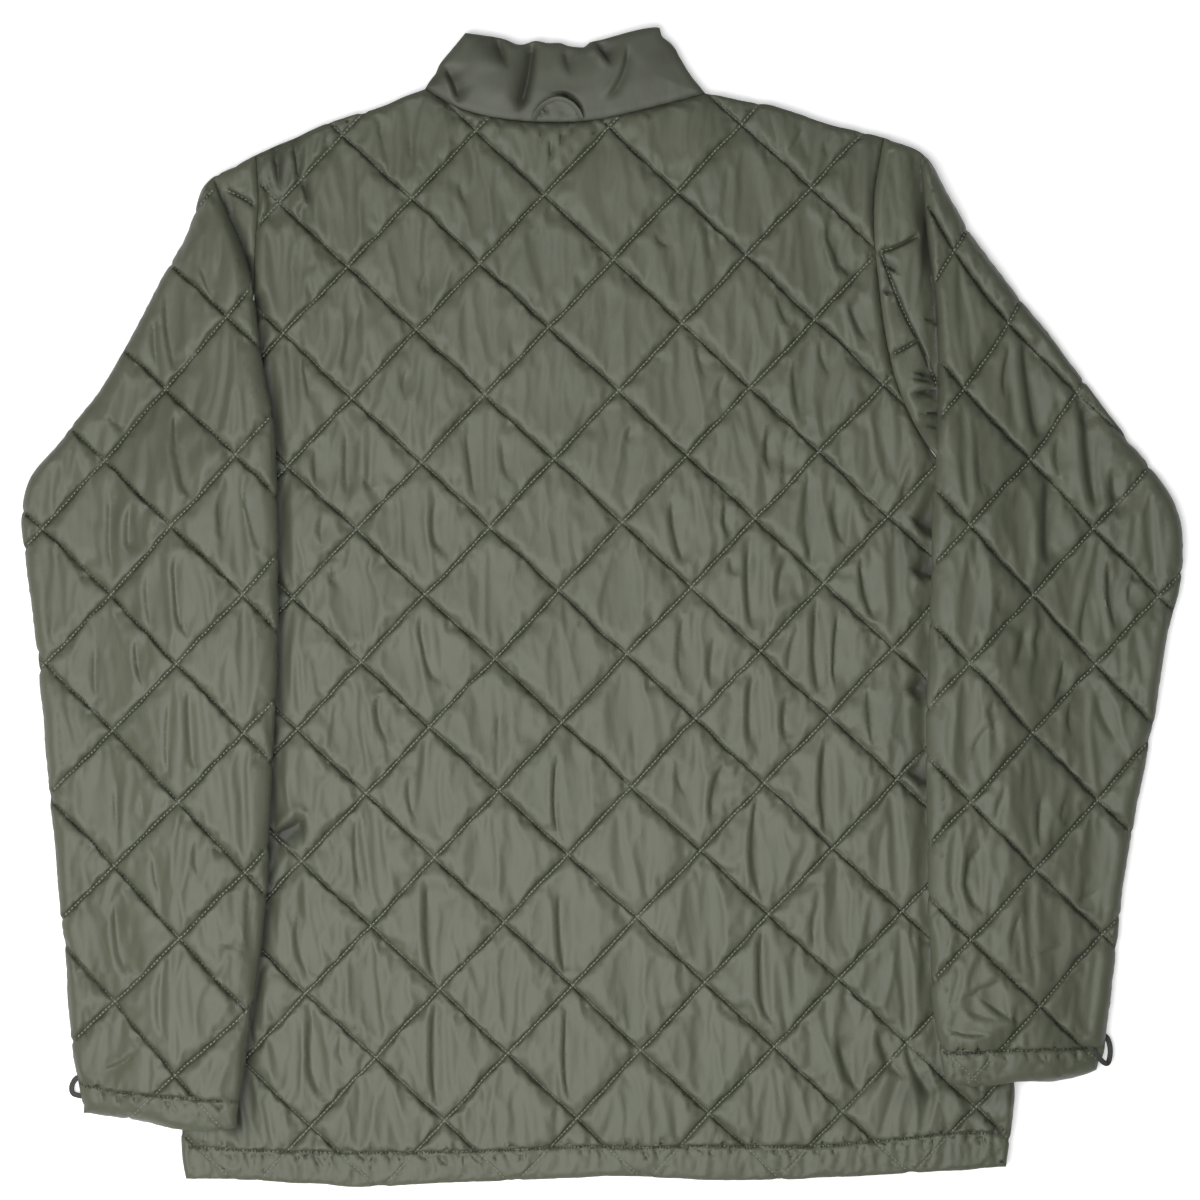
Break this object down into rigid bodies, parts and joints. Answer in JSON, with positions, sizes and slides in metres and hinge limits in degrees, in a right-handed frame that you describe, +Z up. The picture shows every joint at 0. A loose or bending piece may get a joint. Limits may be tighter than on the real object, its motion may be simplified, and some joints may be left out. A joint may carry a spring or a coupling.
{
  "type": "quilted jacket",
  "caption": "Diamond-quilted jacket with a plain stand collar and set-in sleeves, laid flat and face down with its sleeves at its sides.",
  "frame": {"origin": "centre of the laid-out jacket's box in plan, on the surface it lies on", "axes": "+Z up from the surface, +Y from the hem towards the collar, +X to the right as seen from above the jacket's back"},
  "size_m": [0.788, 0.786, 0.0302],
  "materials": {
    "quilted_shell": "grey-olive nylon taffeta with a soft sheen, quilted over wadding",
    "collar_cloth": "the same nylon taffeta, plain over thin wadding",
    "tape": "dark woven tape",
    "zip_metal": "dark painted zinc"
  },
  "bodies": {
    "root": {"back_panel": "quilted_shell", "front_left_panel": "quilted_shell", "front_right_panel": "quilted_shell", "sleeve_left": "quilted_shell", "sleeve_right": "quilted_shell", "collar": "collar_cloth", "neck_loop": "collar_cloth", "cuff_loop_left": "tape", "cuff_loop_right": "tape", "zip": "tape", "zip_slider": "zip_metal"}
  },
  "joints": []
}
